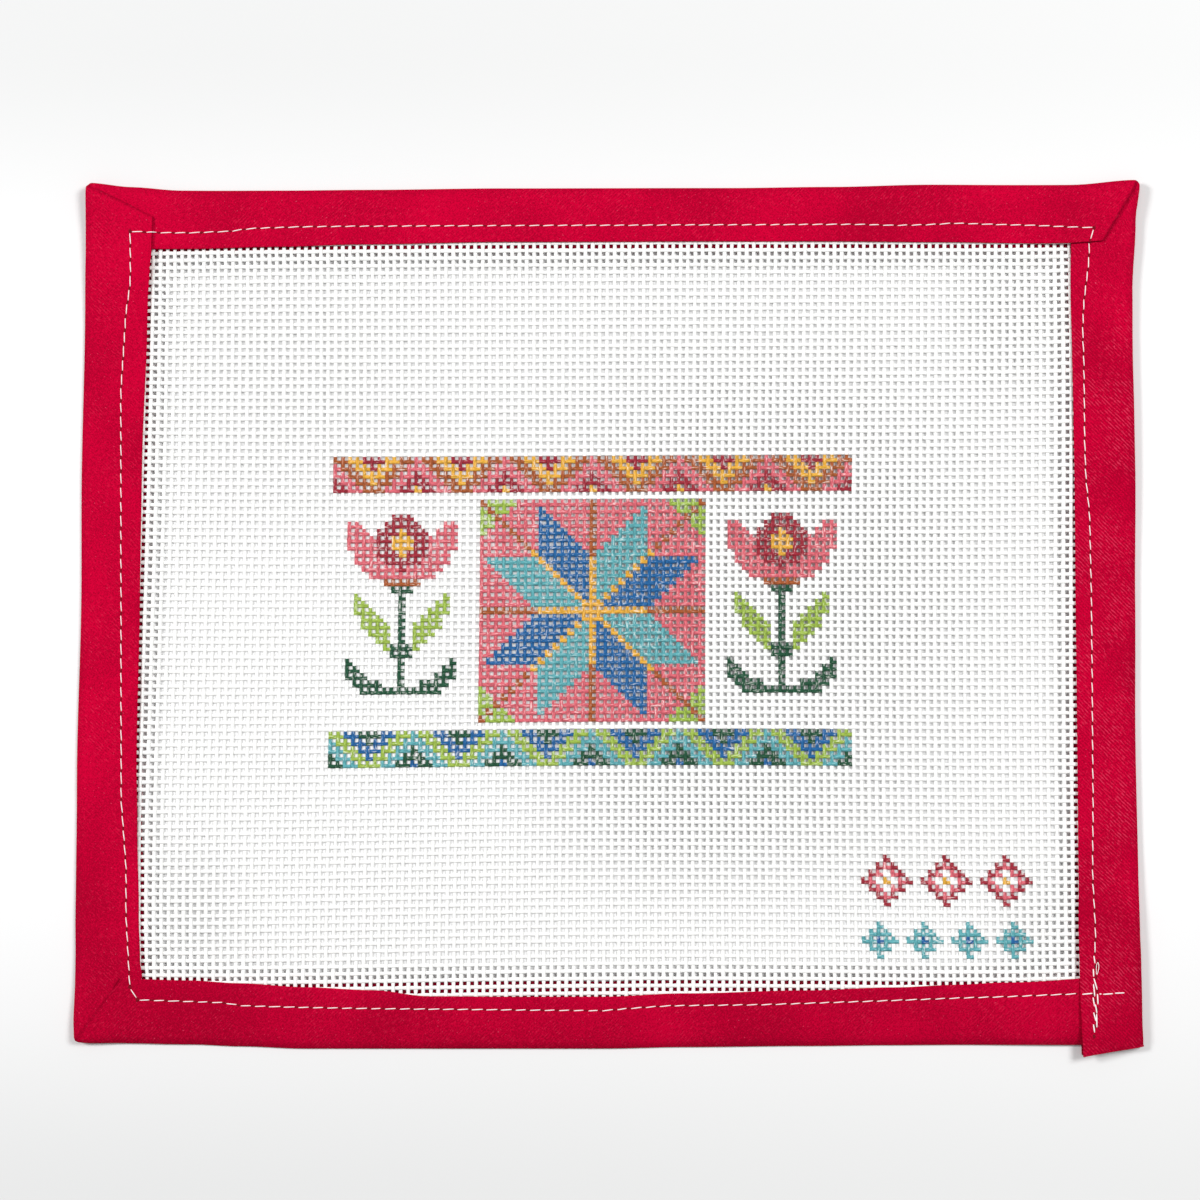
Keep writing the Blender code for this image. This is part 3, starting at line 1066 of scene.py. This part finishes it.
def makeRun(side, start, end, rises, ends, offset):
    made, length = runRows(side, start, end, rises, ends)
    rows = np.array([row for row, arm in made])
    arms = np.array([arm for row, arm in made])
    bpy.ops.object.select_all(action="DESELECT")
    bpy.ops.mesh.primitive_grid_add(
        x_subdivisions=rows.shape[0] - 1, y_subdivisions=rows.shape[1] - 1, size=2.0
    )
    run = bpy.context.object
    run.name = side + "Run"
    grid = (readPoints(run)[:, :2] + 1) / 2 * (np.array(rows.shape[:2]) - 1)
    i, j = np.round(grid).astype(int).T
    points, arm = rows[i, j], arms[i, j]
    x, y = points[:, 0], points[:, 1]
    dip = tape["pucker"] * np.exp(-((distanceToSewing(x, y) / tape["puckerWide"]) ** 2))
    points[:, 2] += np.maximum(arm, 0.0) * tape["wave"] * ripples(x, y) - arm * dip
    roundCorners(points)
    writePoints(run, points)
    setMap(run, "tapeMap", (tapeMap(side, rows)[i, j] + (offset, 0.0)) * mm)
    # painted shade: on the hem under the canvas, and on the rows at a seam's fold line, where shade falls
    # in its crevice
    crease = np.zeros(rows.shape[:2])
    crease[:, :hemColumns - 1] = tape["hemShade"]
    top = foldColumn + 1
    foot = top + tape["foldSteps"] // 2 + tape["upperColumns"]
    for seam, covers, close in ((start, ends[0], (0, 1)), (end, ends[1], (-1, -2))):
        line, lineFoot = tape["crease"].get(seam, (0.0, 0.0))
        for row, share in zip(close, (1.0, 0.6)):
            if covers >= 0:
                crease[row, top:foot] = line * share
                crease[row, foot:] = lineFoot * share
    attribute = run.data.attributes.new("crease", "FLOAT", "POINT")
    attribute.data.foreach_set("value", crease[i, j].astype(np.float32))
    apply(run, "SOLIDIFY", thickness=tape["cloth"], offset=0.0, use_quality_normals=True)
    pick(run)
    bpy.ops.object.shade_smooth_by_angle(angle=math.radians(50))
    return run, length


def makeBinding():
    pieces, offset = [], 0.0
    for side, start, end, rises, ends in runs:
        run, length = makeRun(side, start, end, rises, ends, offset)
        pieces.append(run)
        offset += length
    pick(*pieces)
    bpy.ops.object.join()
    binding = bpy.context.object
    binding.name = "foldedTape"
    binding.data.materials.append(tapeMaterial())
    return binding, offset


def surfaceHeight(surface, x, y, below):
    side = -1.0 if below else 1.0
    rayFrom = 30.0  # well off the cloth
    found, place, *_ = surface.ray_cast((x, y, rayFrom * side), (0.0, 0.0, -side))
    return place.z if found else 0.0


def spansAlong(line, length):
    # even stitches along a line: where each begins and ends, and the same for the holes between
    line = np.array(line)
    marks = np.concatenate([[0.0], np.cumsum(np.hypot(*np.diff(line, axis=0).T))])
    count = round(marks[-1] / sewing["pitch"])
    step = marks[-1] / count

    def between(middles, half):
        ends = [
            np.interp(distance, marks, line[:, axis])
            for distance in (middles - half, middles + half)
            for axis in range(2)
        ]
        return np.stack(ends, axis=1)

    half = length / 2 + chance.normal(0.0, sewing["uneven"], count)
    return (
        between((np.arange(count) + 0.5) * step, half),
        between(np.arange(count + 1) * step, sewing["holeLength"] / 2),
    )


def makeStitch(name):
    # a short thread along X, one long and one thick, with blunt ends
    bpy.ops.object.select_all(action="DESELECT")
    bpy.ops.mesh.primitive_uv_sphere_add(
        segments=6, ring_count=6, radius=0.5, rotation=(0.0, math.pi / 2, 0.0)
    )
    bpy.ops.object.transform_apply(rotation=True)
    stitch = bpy.context.object
    stitch.name = name
    points = readPoints(stitch)
    around = np.maximum(np.hypot(points[:, 1], points[:, 2]), 0.01)
    points[:, 1:] *= ((2 * around) ** -0.6)[:, None]
    writePoints(stitch, points)
    return stitch


def makeHole(name):
    # a flat dark lens of painted shade, for the shadow inside a needle hole
    bpy.ops.object.select_all(action="DESELECT")
    bpy.ops.mesh.primitive_uv_sphere_add(segments=8, ring_count=4, radius=0.5)
    hole = bpy.context.object
    hole.name = name
    return hole


def layCopies(model, spans, width, height, rise, sink, turn, surface, below=False):
    # a copy of a small model for each span, stretched along it and following the cloth
    repeat(model, len(spans), (sewing["apart"], 0.0, 0.0))
    points = readPoints(model)
    copy = np.round(points[:, 0] / sewing["apart"]).astype(int)
    along = points[:, 0] - copy * sewing["apart"]
    flip = -1.0 if below else 1.0
    starts, ends = spans[:, :2], spans[:, 2:]
    ways = ends - starts
    sideways = np.stack([-ways[:, 1], ways[:, 0]], axis=1) / np.linalg.norm(ways, axis=1)[:, None]
    levels = np.array([
        [surfaceHeight(surface, *(start + way * share), below) for share in (0.0, 0.5, 1.0)]
        for start, way in zip(starts, ways)
    ])
    share = along + 0.5
    plan = starts[copy] + ways[copy] * share[:, None]
    aside = flip * points[:, 1] * width + 2 * along * turn
    plan += sideways[copy] * aside[:, None]
    level = (
        levels[copy, 0] * np.maximum(1 - 2 * share, 0)
        + levels[copy, 1] * (1 - abs(2 * share - 1))
        + levels[copy, 2] * np.maximum(2 * share - 1, 0)
    )
    up = rise + points[:, 2] * height - sink * (2 * along) ** 4
    writePoints(model, np.column_stack([plan, level + flip * up]))
    pick(model)
    bpy.ops.object.shade_smooth()
    return model


def makeLoop(surface):
    # a slack end of thread, left standing where the sewing went back over itself
    curve = bpy.data.curves.new("slackThread", "CURVE")
    curve.dimensions = "3D"
    curve.bevel_depth = sewing["thick"] * 0.3
    curve.bevel_resolution = 1
    spline = curve.splines.new("NURBS")
    spline.points.add(len(sewing["loop"]) - 1)
    last = len(sewing["loop"]) - 1
    for k, (x, y) in enumerate(sewing["loop"]):
        arch = math.sin(math.pi * k / last) * sewing["loopHeight"]
        spline.points[k].co = (x, y, surfaceHeight(surface, x, y, False) + 0.1 + arch, 1.0)
    spline.use_endpoint_u = True
    spline.order_u = 3
    spline.resolution_u = 5
    loop = bpy.data.objects.new("slackThread", curve)
    bpy.context.collection.objects.link(loop)
    pick(loop)
    bpy.ops.object.convert(target="MESH")
    return bpy.context.object


def sewingMaterial(name, low, high, roughness):
    material, tree, shader = newMaterial(name, Roughness=roughness, Specular_IOR_Level=0.2)
    place = objectPlace(tree)
    twist = noise(tree, place, (2600.0, 2600.0, 2600.0), detail=1.0)
    shade = blendColours(tree, twist.between(0.3, 0.7), low, high)
    connect(tree, shade, shader, "Base Color")
    return material


def holeSpans(places, length):
    places = np.array(places)
    half = np.array((0.0, length / 2))
    return np.hstack([places - half, places + half])


def joinPieces(*pieces):
    pick(*pieces)
    bpy.ops.object.join()
    return bpy.context.object


def makeSewing(surface):
    # stitches on both faces of the tape, and dark lenses of painted shade where its needle holes are
    even = {name: spansAlong(line, sewing["length"]) for name, line in stitchLine.items()}
    topLines = np.vstack([even[name][0] for name in evenLines])
    topHoles = np.vstack([
        *[even[name][1] for name in evenLines], holeSpans(sewing["flapHoles"], sewing["holeLength"])
    ])
    underLines = np.vstack([stitches for stitches, holes in even.values()])
    underHoles = np.vstack([holes for stitches, holes in even.values()])
    deepLength, deepWidth, deepThick = sewing["deepHole"]
    thick, wide = sewing["thick"], sewing["holeWidth"]
    sunk = (sewing["rise"], sewing["sink"])
    level = (sewing["holeRise"], 0.0, 0.0)
    flapThick = sewing["flapThicker"] * thick
    top = layCopies(
        makeStitch("topStitches"), topLines, thick, thick, *sunk, sewing["turn"], surface
    )
    flap = layCopies(
        makeStitch("flapStitches"), np.array(sewing["flapStitches"]), flapThick, flapThick,
        *sunk, 0.0, surface,
    )
    under = layCopies(
        makeStitch("underStitches"), underLines, thick, sewing["underFlatter"] * thick, 0.0,
        sewing["underSink"], sewing["turn"], surface, below=True,
    )
    top = joinPieces(top, flap, makeLoop(surface))
    deep = holeSpans(sewing["deepHoles"], deepLength)
    holes = joinPieces(
        layCopies(makeHole("needleHoles"), topHoles, wide, sewing["holeThick"], *level, surface),
        layCopies(makeHole("deepHoles"), deep, deepWidth, deepThick, *level, surface),
        layCopies(
            makeHole("underHoles"), underHoles, wide, sewing["underHoleThick"], *level, surface,
            below=True,
        ),
    )
    thread = sewingMaterial("paleThread", *sewing["threadTones"], 0.6)
    holeShade = sewingMaterial("needleDark", *sewing["holeTones"], 0.9)
    for piece, material in ((top, thread), (under, thread), (holes, holeShade)):
        piece.data.materials.clear()
        piece.data.materials.append(material)
        placeOnFrame(piece)
        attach(piece, "root")
    return [top, under, holes]


print("camera, light and floor")
setCamera()
setLight()
setFloor()

print("weaving the canvas")
weave = makeCanvas()

print("folding the binding")
binding, tapeLength = makeBinding()

print("sewing it down")
seamPieces = makeSewing(binding)
placeOnFrame(binding)
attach(binding, "root")
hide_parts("binding")
tapeLength * mm
